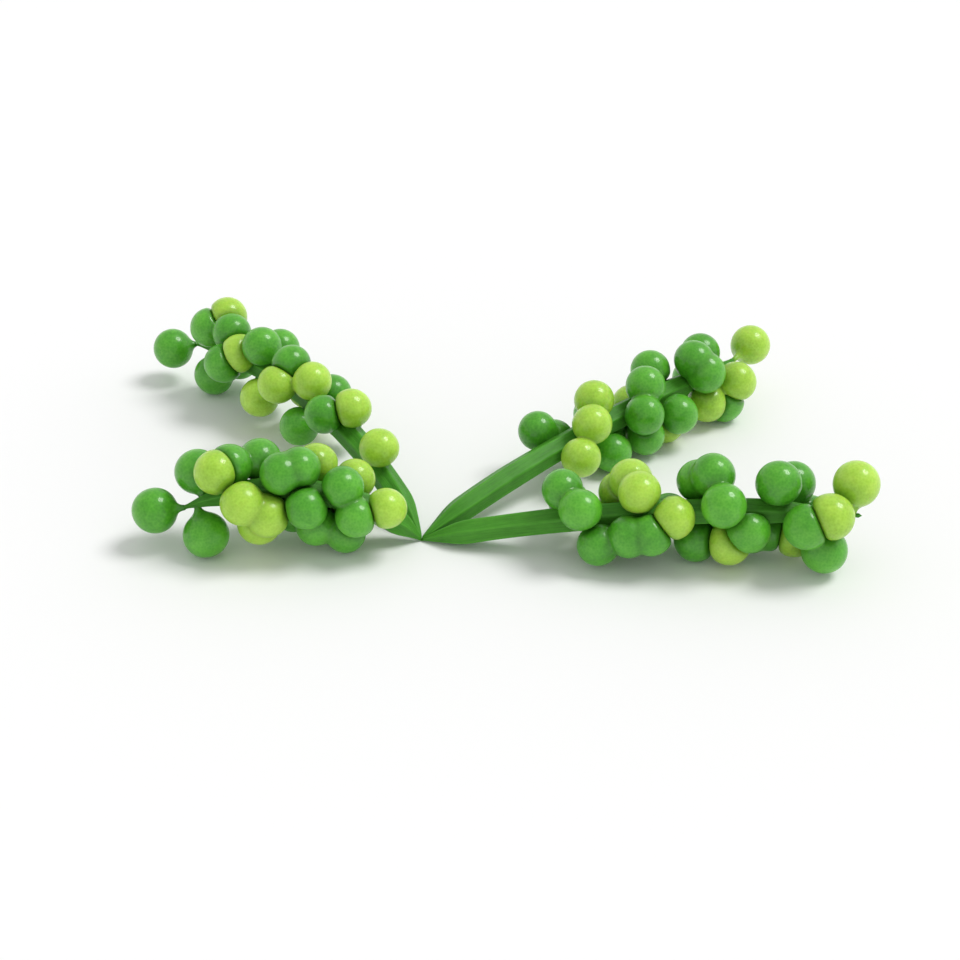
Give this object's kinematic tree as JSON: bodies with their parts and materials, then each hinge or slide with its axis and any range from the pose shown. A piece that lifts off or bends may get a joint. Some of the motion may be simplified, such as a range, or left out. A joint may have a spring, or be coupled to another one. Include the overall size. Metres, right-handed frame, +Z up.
{
  "type": "sea grapes seaweed sprig",
  "caption": "Cut sprig of sea grapes seaweed: ridged green stems fan out from one point, each crowded with tufts of round full-grown and paler young grapes; lies loose on a flat surface.",
  "frame": {"origin": "on the surface that the sprig lies on, under the middle of its outline", "axes": "+X to the right along the sprig's longest side, +Y away from the viewer towards the two back fronds, +Z up"},
  "size_m": [0.0924, 0.0572, 0.0142],
  "materials": {
    "stem": "satin",
    "mature_grape": "satin",
    "young_grape": "satin"
  },
  "bodies": {
    "root": {"back_left_mature_tuft_1": "mature_grape", "back_left_mature_tuft_2": "mature_grape", "back_left_mature_tuft_3": "mature_grape", "back_left_mature_tuft_4": "mature_grape", "back_left_mature_tuft_5": "mature_grape", "back_left_mature_tuft_6": "mature_grape", "back_left_mature_tuft_7": "mature_grape", "back_left_mature_tuft_8": "mature_grape", "back_left_mature_tuft_9": "mature_grape", "back_left_stem": "stem", "back_left_young_tuft_1": "young_grape", "back_left_young_tuft_2": "young_grape", "back_left_young_tuft_3": "young_grape", "back_left_young_tuft_4": "young_grape", "back_left_young_tuft_5": "young_grape", "back_left_young_tuft_6": "young_grape", "back_left_young_tuft_7": "young_grape", "back_right_mature_tuft_1": "mature_grape", "back_right_mature_tuft_2": "mature_grape", "back_right_mature_tuft_3": "mature_grape", "back_right_mature_tuft_4": "mature_grape", "back_right_mature_tuft_5": "mature_grape", "back_right_mature_tuft_6": "mature_grape", "back_right_mature_tuft_7": "mature_grape", "back_right_mature_tuft_8": "mature_grape", "back_right_stem": "stem", "back_right_young_tuft_1": "young_grape", "back_right_young_tuft_2": "young_grape", "back_right_young_tuft_3": "young_grape", "back_right_young_tuft_4": "young_grape", "back_right_young_tuft_5": "young_grape", "front_left_mature_tuft_1": "mature_grape", "front_left_mature_tuft_2": "mature_grape", "front_left_mature_tuft_3": "mature_grape", "front_left_mature_tuft_4": "mature_grape", "front_left_mature_tuft_5": "mature_grape", "front_left_mature_tuft_6": "mature_grape", "front_left_mature_tuft_7": "mature_grape", "front_left_mature_tuft_8": "mature_grape", "front_left_stem": "stem", "front_left_young_tuft_1": "young_grape", "front_left_young_tuft_2": "young_grape", "front_left_young_tuft_3": "young_grape", "front_left_young_tuft_4": "young_grape", "front_left_young_tuft_5": "young_grape", "front_right_mature_tuft_1": "mature_grape", "front_right_mature_tuft_2": "mature_grape", "front_right_mature_tuft_3": "mature_grape", "front_right_mature_tuft_4": "mature_grape", "front_right_mature_tuft_5": "mature_grape", "front_right_mature_tuft_6": "mature_grape", "front_right_mature_tuft_7": "mature_grape", "front_right_stem": "stem", "front_right_young_tuft_1": "young_grape", "front_right_young_tuft_2": "young_grape", "front_right_young_tuft_3": "young_grape", "front_right_young_tuft_4": "young_grape", "front_right_young_tuft_5": "young_grape", "front_right_young_tuft_6": "young_grape", "front_right_young_tuft_7": "young_grape"}
  },
  "joints": []
}
